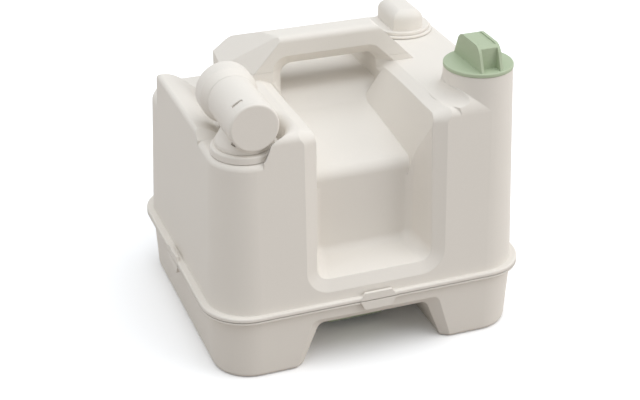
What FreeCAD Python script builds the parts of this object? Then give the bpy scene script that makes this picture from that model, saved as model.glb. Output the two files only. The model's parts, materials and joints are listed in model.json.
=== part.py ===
"""Holding tank of a urine-diverting toilet: a two-part shell with a carry handle, a swivel
pour spout and quarter-turn caps.  Millimetres, +Z up, floor at z = 0, front towards -Y."""
import FreeCAD, Part
import math
import os
from types import SimpleNamespace

import Sketcher
from FreeCAD import Placement, Rotation, Vector

# Driving dimensions, in millimetres and degrees
SIZES = [
    ("wall", 3.0, "wall of the shell mouldings"),
    ("draft", 2.5, "draft of the upper walls"),
    ("fit_gap", 0.3, "clearance between pieces that move past each other"),
    ("run_gap", 0.1, "radial clearance of a running or seated fit"),
    ("flange_half_x", 170.0, "half width of the seam flange"),
    ("flange_half_y", 148.3, "half depth of the seam flange"),
    ("flange_upper", 4.0, "thickness of the upper flange"),
    ("flange_lower", 3.4, "thickness of the lower flange"),
    ("flange_round", 1.8, "rounding of the upper flange's top edge"),
    ("seam_z", 69.2, "height of the seam"),
    ("seam_gap", 1.0, "open joint between the two flanges"),
    ("gasket_width", 3.0, "width of the seam gasket"),
    ("gasket_groove", 1.5, "depth of the gasket's groove"),
    ("tab_base", 39.0, "length of a flange tab at the seam"),
    ("tab_tip", 28.5, "length of a flange tab at its tip"),
    ("tab_rise", 4.2, "rise of a tab above the upper flange"),
    ("tab_drop", 8.8, "drop of a tab below the seam"),
    ("tab_thick", 3.4, "thickness of a tab's upstand"),
    ("tab_proud", 0.6, "how far a tab stands out of the flange"),
    ("flange_step_x", 7.0, "step from the flange's sides in to the upper wall"),
    ("flange_step_y", 4.7, "step from the flange's front and back in to the upper wall"),
    ("upper_half_x", "=flange_half_x - flange_step_x", "half width of the upper wall at the flange"),
    ("upper_half_y", "=flange_half_y - flange_step_y", "half depth of the upper wall at the flange"),
    ("upper_corner", 43.1, "corner radius of the upper wall at the flange"),
    ("flange_corner_step", 2.9, "how much more the flange's corners are rounded"),
    ("flange_corner", "=upper_corner + flange_corner_step", "corner radius of the seam flange"),
    ("deck_z", 256.5, "height of the top deck"),
    ("deck_round", 9.0, "rounding of the deck's outer edge"),
    ("deck_back_round", 20.0, "rounding of the deck's back edge"),
    ("ledge_z", 231.0, "height of the spout's ledge"),
    ("ledge_round", 6.0, "rounding of the spout ledge's edge"),
    ("rear_ledge_z", 212.0, "height of the rear left ledge"),
    ("rear_ledge_round", 12.0, "rounding of the rear left ledge's edge"),
    ("rear_ledge_y", -28.0, "front end of the rear left ledge"),
    ("crest_z", 239.5, "height of the left crest"),
    ("crest_round", 5.0, "rounding of the crest's outer edge"),
    ("crest_front_y", -66.5, "front foot of the left crest"),
    ("crest_rise_y", -55.0, "where the left crest reaches its height"),
    ("crest_end", 57.6, "step from the back wall to the left crest's back end"),
    ("crest_back_y", "=upper_half_y - crest_end", "back end of the left crest"),
    ("crest_wide", 24.0, "width of the left crest's flat top"),
    ("crest_bend_x", "=crest_wide - upper_half_x", "where the crest's top bends down towards the trough"),
    ("crest_bend_round", 42.0, "rounding of that bend"),
    ("crest_slope", 42.0, "slope of the crest's inner side"),
    ("trough_step", 72.0, "step from the left wall to the deck's edge along the trough"),
    ("trough_x", "=trough_step - upper_half_x", "deck edge along the spout's trough"),
    ("trough_corner", 70.0, "corner radius of the deck at the trough's back end"),
    ("pocket_radius", 36.6, "foot radius of the pocket round the spout's neck"),
    ("pocket_draft", 5.0, "lean of the pocket's wall"),
    ("pocket_round", 4.0, "rounding at the pocket's foot"),
    ("nose_step", 7.0, "step from the spout's axis to the deck's nose beside the pocket"),
    ("tower_z", 283.0, "height of the filler tower"),
    ("tower_flare", 13.0, "concave flare at the tower's foot"),
    ("tower_seat", 21.0, "depth of the insert's seat in the tower"),
    ("recess_half", 61.0, "half width of the hand recess behind its bevel"),
    ("recess_foot_z", 96.0, "height of the hand recess's sill"),
    ("recess_foot_round", 13.0, "corner radius of the sill"),
    ("recess_depth", 36.0, "depth of the hand recess"),
    ("recess_draft", 15.5, "draft of the hand recess's walls"),
    ("recess_round", 9.0, "rounding at the back of the hand recess"),
    ("bevel_wide", 12.0, "width of the bevel round the hand recess"),
    ("bevel_deep", 5.0, "depth of the bevel round the hand recess"),
    ("shelf_z", 193.4, "height of the shelf's front edge"),
    ("shelf_slope", 15.7, "slope of the shelf"),
    ("shelf_round", 13.0, "rounding of the shelf's front edge"),
    ("shelf_half", 51.0, "half width of the shelf's front edge"),
    ("valley_y", -9.0, "back end of the shelf's slope"),
    ("valley_round", 14.0, "rounding of the valley and the ridge"),
    ("ridge_y", 8.0, "front edge of the well under the handle"),
    ("well_z", 235.5, "floor of the well under the handle"),
    ("well_half", 46.4, "half width of the well under the handle"),
    ("well_end", 55.6, "step from the back wall to the well's back"),
    ("well_back_y", "=upper_half_y - well_end", "back wall of the well under the handle"),
    ("well_round", 14.0, "rounding of the well's back corners"),
    ("handle_half", 46.4, "half width of the handle's opening"),
    ("leg_foot", 61.0, "reach of the opening's right side at the deck's bevel"),
    ("leg_head", 50.5, "reach of the opening's right side under the grip"),
    ("leg_splay", 11.5, "how much wider the right side is at the front, on the deck"),
    ("handle_under_z", 265.5, "underside of the handle's grip"),
    ("handle_top_z", 298.0, "top of the handle"),
    ("handle_top_half", 53.0, "half width of the handle's top"),
    ("handle_left_top", 50.0, "reach of the handle's top on the left, at its front"),
    ("handle_left_foot", 104.0, "reach of the handle's left foot on the deck, at its front"),
    ("handle_skew", 19.0, "how much further left the handle reaches at its back"),
    ("handle_left_round", 10.0, "corner radius of the left leg"),
    ("handle_right_foot", 94.5, "reach of the handle's right foot on the deck"),
    ("handle_seam_z", 263.0, "seam between handle and pedestals"),
    ("handle_front_y", -4.0, "front face of the handle"),
    ("handle_depth", 56.0, "front to back size of the handle"),
    ("handle_fall", 13.0, "fall of the handle's top towards the back"),
    ("handle_round", 6.0, "rounding of the handle's edges"),
    ("handle_wall", 3.0, "wall of the hollow handle"),
    ("strip_run", 27.5, "how far the left strip's front edge runs sideways"),
    ("strip_drop", 31.1, "how far that edge drops over its run"),
    ("strip_set_x", 19.8, "sideways step from that edge to the strip's back edge"),
    ("strip_set_y", 14.0, "step backwards between the same edges"),
    ("strip_set_z", 8.2, "drop between the same edges"),
    ("handle_bevel", 12.5, "bevel of the grip's lower front edge"),
    ("opening_round_front", 16.0, "corner radius of the handle's opening at its front"),
    ("opening_round_back", 8.0, "corner radius of the handle's opening behind its bevel"),
    ("boss_half", 6.0, "half size of the handle's screw bosses"),
    ("boss_x", 64.2, "place of the screw bosses"),
    ("boss_high", 12.0, "height of the screw bosses"),
    ("screw_shank", 3.0, "diameter of the handle screws"),
    ("screw_head", 6.0, "head diameter of the handle screws"),
    ("screw_long", 32.0, "length of the handle screws"),
    ("screw_head_high", 2.0, "head height of the handle screws"),
    ("base_step_x", 10.4, "step from the flange's sides in to the base at the floor"),
    ("base_step_y", 7.4, "step from the flange's front and back in to the base at the floor"),
    ("base_corner_step", 4.2, "how much less the base's corners are rounded"),
    ("lower_half_x", "=flange_half_x - base_step_x", "half width of the base at the floor"),
    ("lower_half_y", "=flange_half_y - base_step_y", "half depth of the base at the floor"),
    ("lower_corner", "=upper_corner - base_corner_step", "corner radius of the base at the floor"),
    ("lower_draft", 2.95, "draft of the base's walls"),
    ("foot_round", 5.0, "rounding of the base's bottom edge"),
    ("channel_half_foot", 76.0, "half width of the channel at the floor"),
    ("channel_half_top", 58.0, "half width of the channel at its ceiling"),
    ("channel_z", 45.5, "ceiling of the channel"),
    ("channel_round", 9.0, "corner radius of the channel"),
    ("channel_bevel_wide", 7.6, "width of the bevel round the channel's mouth"),
    ("channel_bevel_deep", 7.2, "depth of the bevel round the channel's mouth"),
    ("tray_half", 33.0, "half width of the green tray under the base"),
    ("tray_length", 176.0, "length of the green tray"),
    ("tray_z", 10.0, "underside of the green tray"),
    ("tray_round", 6.0, "rounding of the green tray"),
    ("tray_wall", 2.5, "wall of the green tray"),
    ("spout_z", 268.5, "height of the pour spout's axis"),
    ("spout_radius", 24.0, "outer radius of the spout's tube"),
    ("spout_wall", 3.0, "wall of the spout's tube"),
    ("spout_set_back", 9.1, "step from the front wall's foot to the spout's end plug"),
    ("spout_front_y", "=spout_set_back - upper_half_y", "front face of the spout's end plug"),
    ("spout_length", 90.5, "length of the spout from that face to its mouth"),
    ("plug_flange", 3.5, "thickness of the end plug's face"),
    ("plug_deep", 20.0, "depth of the end plug's sleeve"),
    ("plug_round", 2.4, "rounding of the end plug's face"),
    ("plug_sleeve_wall", 2.2, "wall of the end plug's sleeve"),
    ("window_y", 15.0, "middle of the snap windows from the front face"),
    ("window_turn", 30.0, "turn of the first snap window from below, about the tube"),
    ("window_wide", 11.0, "width of a snap window"),
    ("window_long", 4.0, "length of a snap window along the tube"),
    ("nub_wide", 4.6, "width of the plug's nub at one end of a snap window"),
    ("mouth_radius", 20.2, "outer radius of the spout's mouth"),
    ("mouth_wall", 3.0, "wall of the spout's mouth"),
    ("mouth_long", 21.0, "length of the spout's mouth"),
    ("cap_radius", 28.6, "rim radius of the spout cap"),
    ("cap_end", 5.0, "end wall of the spout cap"),
    ("cap_rim", 19.0, "straight rim of the spout cap"),
    ("cap_round", 3.0, "rounding of the spout cap's rim"),
    ("liner_thick", 2.4, "thickness of the spout cap's liner"),
    ("collar_radius", 32.4, "outer radius of the spout's collar"),
    ("collar_high", 8.0, "height of the collar above the ledge"),
    ("collar_bore", 25.0, "bore of the spout's collar"),
    ("collar_spigot", 28.4, "radius of the collar's spigot"),
    ("collar_deep", 16.5, "depth of the collar's spigot"),
    ("collar_round", 2.2, "rounding of the collar"),
    ("riser_bore", 20.8, "bore of the spout's riser"),
    ("riser_lip", 26.6, "radius of the riser's snap lip"),
    ("riser_lip_high", 3.7, "height of the riser's snap lip"),
    ("riser_shoulder", 28.0, "radius of the riser's shoulder"),
    ("shoulder_high", 4.0, "height of the riser's shoulder"),
    ("seal_groove", 4.0, "width of the neck seal's groove"),
    ("seal_section", 2.4, "section of the neck and plug seals"),
    ("retainer_radius", 31.8, "outer radius of the collar's nut"),
    ("retainer_high", 6.0, "height of the collar's nut"),
    ("washer_thick", 0.6, "thickness of the flat gaskets under the collars"),
    ("washer_inset", 1.6, "how far those gaskets stop short of the collars' edges"),
    ("lug_turn_lead", 24.0, "rise of the caps in one full turn"),
    ("lug_span", 60.0, "angle that one lug covers"),
    ("lug_high", 2.5, "height of a lug"),
    ("lug_gap", 0.4, "radial clearance at the lugs"),
    ("filler_cap_radius", 34.4, "radius of the filler cap"),
    ("filler_cap_thick", 3.5, "thickness of the filler cap's rim"),
    ("filler_bore", 26.6, "bore of the filler insert"),
    ("filler_insert_radius", 30.8, "outer radius of the filler insert"),
    ("skirt_deep", 17.0, "depth of the cap skirts"),
    ("skirt_wall", 3.0, "wall of the cap skirts"),
    ("ring_seal_thick", 1.5, "thickness of the cap seals"),
    ("ring_seal_wide", 3.4, "width of the cap seals"),
    ("grip_plate", 3.0, "thickness of the filler grip's plates"),
    ("grip_wide", 23.0, "outer width of the filler grip"),
    ("grip_high", 24.0, "height of the filler grip"),
    ("grip_half_foot", 31.5, "half length of the filler grip at its foot"),
    ("grip_half_top", 21.0, "half length of the filler grip at its top"),
    ("grip_round", 12.0, "rounding of the filler grip's plates"),
    ("grip_core_half", 21.0, "half length of the grip's core"),
    ("grip_core_drop", 1.2, "drop of the core below the plates"),
    ("inlet_step_x", 49.0, "step from the right wall to the inlet cap's middle"),
    ("inlet_step_y", 65.1, "step from the back wall to the inlet cap's middle"),
    ("inlet_x", "=upper_half_x - inlet_step_x", "place of the inlet cap across the deck"),
    ("inlet_y", "=upper_half_y - inlet_step_y", "place of the inlet cap towards the back"),
    ("inlet_flange_radius", 34.5, "radius of the inlet collar's flange"),
    ("inlet_flange_high", 3.0, "height of the inlet collar's flange"),
    ("inlet_spigot", 29.8, "radius of the inlet collar's spigot"),
    ("inlet_spigot_deep", 20.0, "depth of the inlet collar's spigot"),
    ("inlet_bore", 25.6, "bore of the inlet collar"),
    ("inlet_cap_radius", 31.5, "radius of the inlet cap"),
    ("inlet_cap_thick", 3.4, "thickness of the inlet cap's rim"),
    ("knob_wide", 33.0, "width of the inlet cap's grip"),
    ("knob_high", 21.5, "height of the inlet cap's grip"),
    ("knob_radius", 27.5, "radius that bounds the inlet cap's grip"),
    ("knob_round", 10.5, "rounding of the inlet cap's grip"),
]


class Size(float):
    """A length or an angle that keeps the sheet's formula for it."""

    def __new__(cls, value, formula):
        size = super().__new__(cls, value)
        size.formula = formula
        return size

    def __add__(self, other):
        return Size(float(self) + float(other), f"({self.formula} + {formula_of(other)})")

    __radd__ = __add__

    def __sub__(self, other):
        return Size(float(self) - float(other), f"({self.formula} - {formula_of(other)})")

    def __rsub__(self, other):
        return Size(float(other) - float(self), f"({formula_of(other)} - {self.formula})")

    def __mul__(self, other):
        return Size(float(self) * float(other), f"({self.formula} * {formula_of(other)})")

    __rmul__ = __mul__

    def __truediv__(self, other):
        return Size(float(self) / float(other), f"({self.formula} / {formula_of(other)})")

    def __neg__(self):
        return Size(-float(self), f"(-1 * {self.formula})")


def formula_of(size):
    """The sheet's formula for a size, or a plain number as text."""
    return size.formula if isinstance(size, Size) else repr(float(size))


doc = FreeCAD.newDocument("HoldingTank")
sheet = doc.addObject("Spreadsheet::Sheet", "Sizes")
for row, (alias, value, meaning) in enumerate(SIZES, start=1):
    sheet.set(f"A{row}", alias)
    sheet.set(f"B{row}", str(value))
    sheet.set(f"C{row}", meaning)
    sheet.setAlias(f"B{row}", alias)
doc.recompute()
d = SimpleNamespace(**{alias: Size(sheet.get(alias), f"Sizes.{alias}") for alias, _, _ in SIZES})

UP = Vector(0, 0, 1)
FAR = 400.0
INNER_ROUND_SHARE = 1.6
LEAST_ROUND = 1.0
SAME_PLACE = 1e-4
HALF_TURN = 180.0
pieces = []


def bind(item, path, size):
    """Binds a property of a document object to the sheet."""
    item.setExpression(path, formula_of(size))


def keep(item, label):
    """Makes a document object a sub-part under its own name."""
    item.Label = label
    pieces.append(item)
    return item


# Places that follow from the driving dimensions
upper_foot_z = d.seam_z + d.seam_gap / 2 + d.flange_upper
lower_top_z = d.seam_z - d.seam_gap / 2 - d.flange_lower
neck_x = d.upper_half_x - d.upper_corner
neck_y = d.upper_corner - d.upper_half_y
spout_x = -neck_x
collar_top_z = d.ledge_z + d.collar_high
handle_back_y = d.handle_front_y + d.handle_depth
upper_lean = math.tan(math.radians(d.draft))
lower_lean = math.tan(math.radians(d.lower_draft))
zone_low_z = d.rear_ledge_z - 2 * d.rear_ledge_round
leg_lean = (d.leg_foot - d.leg_head) / (d.handle_under_z - d.deck_z + d.bevel_deep)
well_right = d.leg_foot - leg_lean * d.bevel_deep


# Outlines of lines and arcs
def corner_arc(before, corner, after, radius):
    """The two ends and the middle of the arc that rounds a corner."""
    to_before = (before - corner).normalize()
    to_after = (after - corner).normalize()
    half = to_before.getAngle(to_after) / 2
    reach = radius / math.tan(half)
    bisector = (to_before + to_after).normalize()
    centre = corner + bisector * (radius / math.sin(half))
    return corner + to_before * reach, centre - bisector * radius, corner + to_after * reach


def outline(points, radii):
    """A closed wire through the points, with each corner rounded by its radius."""
    spans = []
    for index, corner in enumerate(points):
        if radii[index] > 0:
            after = points[(index + 1) % len(points)]
            spans.append(corner_arc(points[index - 1], corner, after, radii[index]))
        else:
            spans.append((corner, None, corner))
    edges = []
    for index, (start, middle, end) in enumerate(spans):
        if middle is not None:
            edges.append(Part.Arc(start, middle, end).toShape())
        follower = spans[(index + 1) % len(spans)][0]
        if (follower - end).Length > SAME_PLACE:
            edges.append(Part.LineSegment(end, follower).toShape())
    return Part.Wire(edges)


def prism(points, radii, direction):
    """A solid with that outline, pushed along a direction."""
    return Part.Face(outline(points, radii)).extrude(direction)


def across(points, half_width, radii=None, grow=0.0):
    """A solid with a (y, z) outline that runs along X, both ways from the middle."""
    corners = [Vector(-half_width, y, z) for y, z in points]
    face = Part.Face(outline(corners, radii or [0.0] * len(points)))
    if grow:
        face = face.makeOffset2D(grow)
    return face.extrude(Vector(2 * half_width, 0, 0))


def lengthways(points, y_from, y_to, radii=None):
    """A solid with an (x, z) outline that runs along Y."""
    corners = [Vector(x, y_from, z) for x, z in points]
    face = Part.Face(outline(corners, radii or [0.0] * len(points)))
    return face.extrude(Vector(0, y_to - y_from, 0))


def rounded_rectangle(half_x, half_y, corner, z):
    """A level rounded rectangle about the middle of the object."""
    points = [Vector(x, y, z) for x, y in
              ((half_x, -half_y), (half_x, half_y), (-half_x, half_y), (-half_x, -half_y))]
    return outline(points, [corner] * 4)


def tapered_block(half_x, half_y, corner, z_low, z_high, lean, z_base):
    """A rounded block whose sides lean inwards from the sizes that it has at z_base."""
    wires = []
    for z in (z_low, z_high):
        inset = (z - z_base) * lean
        wires.append(rounded_rectangle(half_x - inset, half_y - inset, corner - inset, z))
    return Part.makeLoft(wires, True, True)


def level_edges(shape, z):
    """The edges of a shape that lie at a height."""
    return [edge for edge in shape.Edges
            if abs(edge.BoundBox.ZMin - z) < SAME_PLACE and abs(edge.BoundBox.ZMax - z) < SAME_PLACE]


def loft_between(first, second):
    """A straight-sided solid between two wires that have matching edges."""
    return Part.makeLoft([first, second], True, True)


# Upper shell
def inner_round(rounding, inset):
    """The rounding of an inner edge behind a rounded outer one."""
    return max(rounding - INNER_ROUND_SHARE * inset, LEAST_ROUND)


def upper_block(top_z, rounding, inset):
    """The upper wall's block up to a height, with its top edge rounded on the outside."""
    block = tapered_block(d.upper_half_x - inset, d.upper_half_y - inset, d.upper_corner - inset,
                          d.seam_z - d.wall, top_z - inset, upper_lean, upper_foot_z)
    return block.makeFillet(inner_round(rounding, inset), level_edges(block, top_z - inset))


def corner_radius_at(z):
    """The corner radius of the upper wall at a height."""
    return d.upper_corner - (z - upper_foot_z) * upper_lean


def deck_block(inset):
    """The block under the deck, whose left side is the wall of the spout's trough."""
    top_z = d.deck_z - inset
    edge_x = d.trough_x + inset
    wires = []
    for z in (zone_low_z, top_z):
        back = (z - upper_foot_z) * upper_lean + inset
        half_x = d.upper_half_x - back
        half_y = d.upper_half_y - back
        points = [Vector(half_x, -half_y, z), Vector(half_x, half_y, z), Vector(edge_x, half_y, z),
                  Vector(edge_x, -half_y, z)]
        corner = d.upper_corner - back
        wires.append(outline(points, [corner, corner, d.trough_corner - inset, 0]))
    block = Part.makeLoft(wires, True, True)
    block = block.makeFillet(inner_round(d.deck_round, inset), level_edges(block, top_z))
    low_back = d.upper_half_y - (zone_low_z - upper_foot_z) * upper_lean - inset
    high_back = d.upper_half_y - (top_z - upper_foot_z) * upper_lean - inset
    side = across([(-FAR, zone_low_z), (-FAR, top_z), (high_back, top_z), (low_back, zone_low_z)], FAR,
                  [0, 0, d.deck_back_round - inset, 0])
    return block.common(side)


def left_leg(inset):
    """The body of the handle's left leg, from the ledges up to the deck."""
    front_y = d.handle_front_y + inset
    back_y = handle_back_y - inset
    inner_x = d.trough_x + d.trough_corner - inset
    corners = [Vector(x, y, zone_low_z) for x, y in
               ((-d.handle_left_foot + inset, front_y), (inner_x, front_y), (inner_x, back_y),
                (-d.handle_left_foot + inset, back_y))]
    bend = d.handle_left_round
    return prism(corners, [bend, 0, 0, bend], Vector(0, 0, d.deck_z - inset - zone_low_z))


def pocket(inset):
    """The bowl round the spout's neck, with a soft foot and a soft rim."""
    lean = math.tan(math.radians(d.pocket_draft))
    low_z = d.ledge_z - inset
    high_z = d.deck_z - inset
    foot = d.pocket_radius + inset
    rim = foot + (d.deck_z - d.ledge_z) * lean
    outside = rim + 2 * d.deck_round
    points = [Vector(0, 0, low_z), Vector(foot, 0, low_z), Vector(rim, 0, high_z),
              Vector(outside, 0, high_z), Vector(outside, 0, FAR), Vector(0, 0, FAR)]
    profile = Part.Face(outline(points, [0, d.pocket_round + inset, d.deck_round - inset, 0, 0, 0]))
    bowl = profile.revolve(Vector(0, 0, 0), UP, 360)
    bowl.translate(Vector(spout_x, neck_y, 0))
    return bowl


def crest(inset):
    """The ridge on the left of the spout's trough."""
    top_z = d.crest_z - inset
    bend_x = d.crest_bend_x - inset * math.tan(math.radians(d.crest_slope / 2))
    foot_x = bend_x + (top_z - zone_low_z) / math.tan(math.radians(d.crest_slope))
    section = lengthways([(-FAR, zone_low_z), (-FAR, top_z), (bend_x, top_z), (foot_x, zone_low_z)],
                         -FAR, FAR, [0, 0, d.crest_bend_round - inset, 0])
    front_y = d.crest_front_y + inset
    back_y = d.crest_back_y - inset
    bend = d.crest_round - inset
    length = across([(front_y, zone_low_z), (front_y, d.ledge_z - inset), (d.crest_rise_y + inset, top_z),
                     (back_y, top_z), (back_y, zone_low_z)], FAR, [0, 0, bend, bend / 2, 0])
    return upper_block(d.crest_z, d.crest_round, inset).common(section.common(length))


def tower(inset):
    """The filler tower, which carries the front right corner on upwards."""
    foot_z = d.ledge_z
    top_z = d.tower_z if not inset else d.tower_z - d.tower_seat - inset
    column = Part.makeCone(corner_radius_at(foot_z) - inset, corner_radius_at(top_z) - inset,
                           top_z - foot_z, Vector(neck_x, neck_y, foot_z))
    if inset:
        return column
    radius = corner_radius_at(d.deck_z)
    flare = d.tower_flare
    start = Vector(radius + flare, 0, d.deck_z)
    bend = Vector(radius + flare * (1 - math.sqrt(0.5)), 0, d.deck_z + flare * (1 - math.sqrt(0.5)))
    finish = Vector(radius, 0, d.deck_z + flare)
    inner_low = Vector(1, 0, foot_z)
    inner_high = Vector(1, 0, d.deck_z + flare)
    outer_low = Vector(radius + flare, 0, foot_z)
    profile = Part.Wire([Part.Arc(start, bend, finish).toShape(),
                         Part.LineSegment(finish, inner_high).toShape(),
                         Part.LineSegment(inner_high, inner_low).toShape(),
                         Part.LineSegment(inner_low, outer_low).toShape(),
                         Part.LineSegment(outer_low, start).toShape()])
    skirt = Part.Face(profile).revolve(Vector(0, 0, 0), UP, 360)
    skirt.translate(Vector(neck_x, neck_y, 0))
    bounds = upper_block(d.deck_z + flare, d.deck_round + flare, 0)
    return column.fuse(skirt.common(bounds))


def front_wall_y(z):
    """The front face of the upper wall at a height."""
    return -(d.upper_half_y - (z - upper_foot_z) * upper_lean)


recess_back_y = front_wall_y(d.recess_foot_z) + d.bevel_deep + d.recess_depth


def sill_outline(half, foot_z, corner, shift, top_z):
    """The hand recess's U-shaped outline on a plane parallel to the front wall."""
    points = [(half, top_z), (-half, top_z), (-half, foot_z), (half, foot_z)]
    corners = [Vector(x, front_wall_y(z) + shift, z) for x, z in points]
    return outline(corners, [0, 0, corner, corner])


def shelf_profile():
    """The (y, z) line of the shelf, the ridge and the well, closed above the handle."""
    slope = math.tan(math.radians(d.shelf_slope))
    back_y = recess_back_y
    bend_y = back_y + d.shelf_round
    bend_z = d.shelf_z + d.shelf_round * slope - d.shelf_round / math.cos(math.radians(d.shelf_slope))
    valley_z = d.shelf_z + (d.valley_y - back_y) * slope
    points = [(back_y - d.wall, FAR), (back_y - d.wall, bend_z), (back_y, bend_z), (back_y, d.shelf_z),
              (d.valley_y, valley_z), (d.ridge_y, d.well_z), (d.well_back_y, d.well_z),
              (d.well_back_y, FAR)]
    reach = bend_y - back_y
    return points, [0, 0, 0, reach, d.valley_round, d.valley_round, d.well_round, 0]


def recess(grow):
    """The hand recess, its bevel, the shelf and the well under the handle, all grown by a wall."""
    lean = math.tan(math.radians(d.recess_draft))
    top_z = FAR
    end_y = d.handle_front_y + grow
    outside = d.recess_depth
    tools = []
    # Lower pocket, drafted from the front
    front_half = d.recess_half + outside * lean + grow
    back_half = d.recess_half - d.recess_depth * lean + grow
    front_y = recess_back_y - d.recess_depth - outside
    back_y = recess_back_y + grow
    foot_front = d.recess_foot_z - outside * lean - grow
    foot_back = d.recess_foot_z + d.recess_depth * lean - grow

    def pocket_outline(half, foot_z, y):
        points = [Vector(half, y, top_z), Vector(-half, y, top_z), Vector(-half, y, foot_z),
                  Vector(half, y, foot_z)]
        return outline(points, [0, 0, d.recess_foot_round, d.recess_foot_round])

    hand_space = loft_between(pocket_outline(front_half, foot_front, front_y),
                              pocket_outline(back_half, foot_back, back_y))
    if not grow:
        back_edges = [edge for edge in hand_space.Edges if abs(edge.BoundBox.YMin - back_y) < SAME_PLACE]
        rim = [edge for edge in back_edges
               if edge.BoundBox.YLength < SAME_PLACE and edge.BoundBox.ZMin < top_z - d.wall]
        hand_space = hand_space.makeFillet(d.recess_round, rim)
    tools.append(hand_space)
    # Bevel round the front opening
    steep = d.bevel_wide / d.bevel_deep
    margin = d.bevel_deep
    split_z = d.shelf_z
    outer = sill_outline(d.recess_half + d.bevel_wide + margin * steep + grow,
                         d.recess_foot_z - d.bevel_wide - margin * steep - grow,
                         d.recess_foot_round + d.bevel_wide + margin * steep, -margin, split_z)
    inner = sill_outline(d.recess_half - d.bevel_wide + grow, d.recess_foot_z + d.bevel_wide - grow,
                         d.recess_foot_round - d.bevel_wide, 2 * d.bevel_deep + grow, split_z)
    tools.append(loft_between(outer, inner))
    # Bevel up the front, over the deck's edge and back to the handle
    for side in (1, -1):
        wires = []
        for half, depth in ((d.recess_half + d.bevel_wide + margin * steep, -margin),
                            (d.recess_half - d.bevel_wide, 2 * d.bevel_deep)):
            half = half + grow
            level = d.deck_z - depth - grow
            face_low = front_wall_y(split_z) + depth + grow
            face_high = front_wall_y(level) + depth + grow
            bend = d.deck_round + d.bevel_deep - depth
            view = [(face_low, split_z), (face_high, level), (end_y, level), (end_y, FAR), (-FAR, FAR),
                    (-FAR, split_z)]
            points = [Vector(side * half, y, z) for y, z in view]
            wires.append(outline(points, [0, bend, 0, 0, 0, 0]))
        tools.append(loft_between(*wires))
    # Space between the two bevels
    between = Part.makeBox(2 * (d.recess_half + grow), end_y + FAR, FAR,
                           Vector(-d.recess_half - grow, -FAR, d.deck_z - d.bevel_deep - grow))
    tools.append(between)
    # Shelf with side walls that close in towards the ridge, and the well under the handle
    points, radii = shelf_profile()
    floor = across(points, FAR / 2, radii, grow)
    rim_z = d.deck_z - d.bevel_deep

    def shelf_section(y, half, z_half, z_low):
        spread = (d.recess_half - half) / (rim_z - z_half)
        z_high = d.deck_z + d.wall
        low = half + grow + (z_low - z_half) * spread
        high = half + grow + (z_high - z_half) * spread
        return Part.makePolygon([Vector(low, y, z_low), Vector(high, y, z_high), Vector(-high, y, z_high),
                                 Vector(-low, y, z_low), Vector(low, y, z_low)])

    front_low = d.shelf_z - d.shelf_round - d.wall
    ridge_low = d.well_z - d.valley_round - 2 * d.wall
    start = shelf_section(recess_back_y - d.recess_depth - d.wall, d.shelf_half, d.shelf_z, front_low)
    middle = shelf_section(recess_back_y, d.shelf_half, d.shelf_z, front_low)
    end = shelf_section(d.handle_front_y, d.well_half, d.well_z - d.bevel_deep, ridge_low)
    funnel = loft_between(start, middle).fuse(loft_between(middle, end))
    if grow:
        past = shelf_section(end_y, d.well_half, d.well_z - d.bevel_deep, ridge_low)
        funnel = funnel.fuse(loft_between(end, past))
    front_space = Part.makeBox(FAR, d.recess_depth + d.wall, FAR,
                               Vector(-FAR / 2, recess_back_y - d.recess_depth - d.wall, front_low))
    tools.append(funnel.common(floor.fuse(front_space)))
    well_x = d.well_half + grow
    well_front = d.handle_front_y - grow
    well_back = d.well_back_y + grow
    right_x = well_right + grow
    well_corners = [Vector(x, y, d.shelf_z) for x, y in
                    ((-well_x, well_front), (right_x, well_front), (right_x, well_back), (-well_x, well_back))]
    well = prism(well_corners, [0, 0, d.well_round, d.well_round], Vector(0, 0, FAR))
    tools.append(well.common(floor))
    # Slanting walls that lead on into the handle's bevel
    tools.append(handle_opening(grow).common(floor))
    return tools


def fused(shapes):
    """One solid from several that touch or overlap."""
    return shapes[0].multiFuse(shapes[1:]).removeSplitter()


def upper_form(inset):
    """The upper shell's outer form, or its inner one a wall further in."""
    nose_x = spout_x + d.nose_step
    nose = Part.makeBox(d.trough_x - nose_x + d.deck_round + d.wall, FAR, FAR,
                        Vector(nose_x, neck_y - FAR, zone_low_z))
    front_deck = upper_block(d.deck_z, d.deck_round, inset).common(nose)
    high = deck_block(inset).fuse(front_deck).cut(pocket(inset))
    front_low = upper_block(d.ledge_z, d.ledge_round, inset)
    front_half = Part.makeBox(2 * FAR, FAR, FAR, Vector(-FAR, d.rear_ledge_y - inset - FAR, 0))
    back_low = upper_block(d.rear_ledge_z, d.rear_ledge_round, inset)
    return fused([high, front_low.common(front_half), back_low, crest(inset), left_leg(inset)])


def handle_opening(grow):
    """The space under the grip with its bevelled front, all grown by a wall."""
    low_z = d.well_z - d.wall - grow
    half = d.handle_half + grow
    top_z = d.handle_under_z + grow
    rim_z = d.deck_z - d.bevel_deep
    foot = d.leg_foot + grow
    head = d.leg_head + grow * math.sqrt(2)
    knee_z = rim_z - d.bevel_deep
    knee = well_right + grow
    wires = []
    for y, slope, knee_point, foot_point, corner in (
            (d.handle_front_y + grow / 2, d.handle_bevel, (foot, rim_z), (foot + d.leg_splay, d.deck_z),
             d.opening_round_front),
            (d.handle_front_y + d.handle_bevel + grow, 0.0, (knee, knee_z), (knee, d.deck_z),
             d.opening_round_back)):
        right = [(half, low_z), knee_point, foot_point, (head, top_z + slope)]
        left = [(-half - slope, top_z + slope), (-half - slope, rim_z), (-half, low_z)]
        ring = [Vector(x, y, z) for x, z in right + left]
        wires.append(outline(ring, [0, 0, 0, corner, corner, 0, 0]))
    return loft_between(*wires)


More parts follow.
